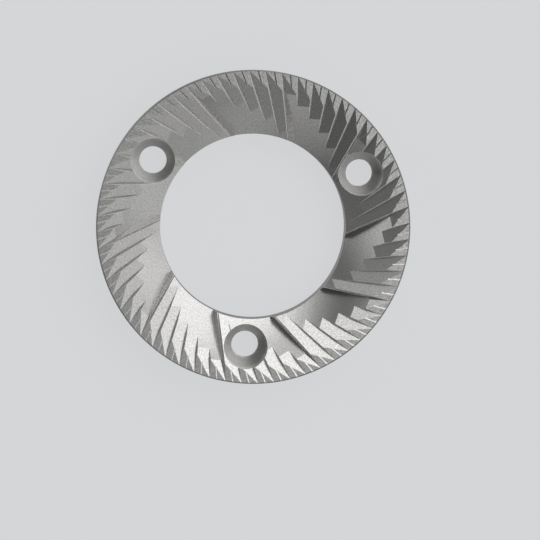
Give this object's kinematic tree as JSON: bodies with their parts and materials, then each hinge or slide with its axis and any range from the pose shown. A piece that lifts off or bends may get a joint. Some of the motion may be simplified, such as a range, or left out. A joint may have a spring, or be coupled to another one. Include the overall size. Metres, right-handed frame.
{
  "type": "coffee grinder burr",
  "caption": "Flat ring burr of satin steel for a coffee grinder, with slanted cutting teeth, feed pockets round the bore and countersunk screw holes.",
  "frame": {"origin": "centre of the flat back face, on the axis of the ring", "axes": "+Z along the axis of the ring, out of the toothed face; +X to the right and +Y up as the toothed face is looked at, with the first screw hole 26.3 degrees from +X towards +Y"},
  "size_m": [0.064, 0.064, 0.009],
  "materials": {
    "tool_steel": "satin ground steel"
  },
  "bodies": {
    "root": {"grinding_burr": "tool_steel"}
  },
  "joints": []
}
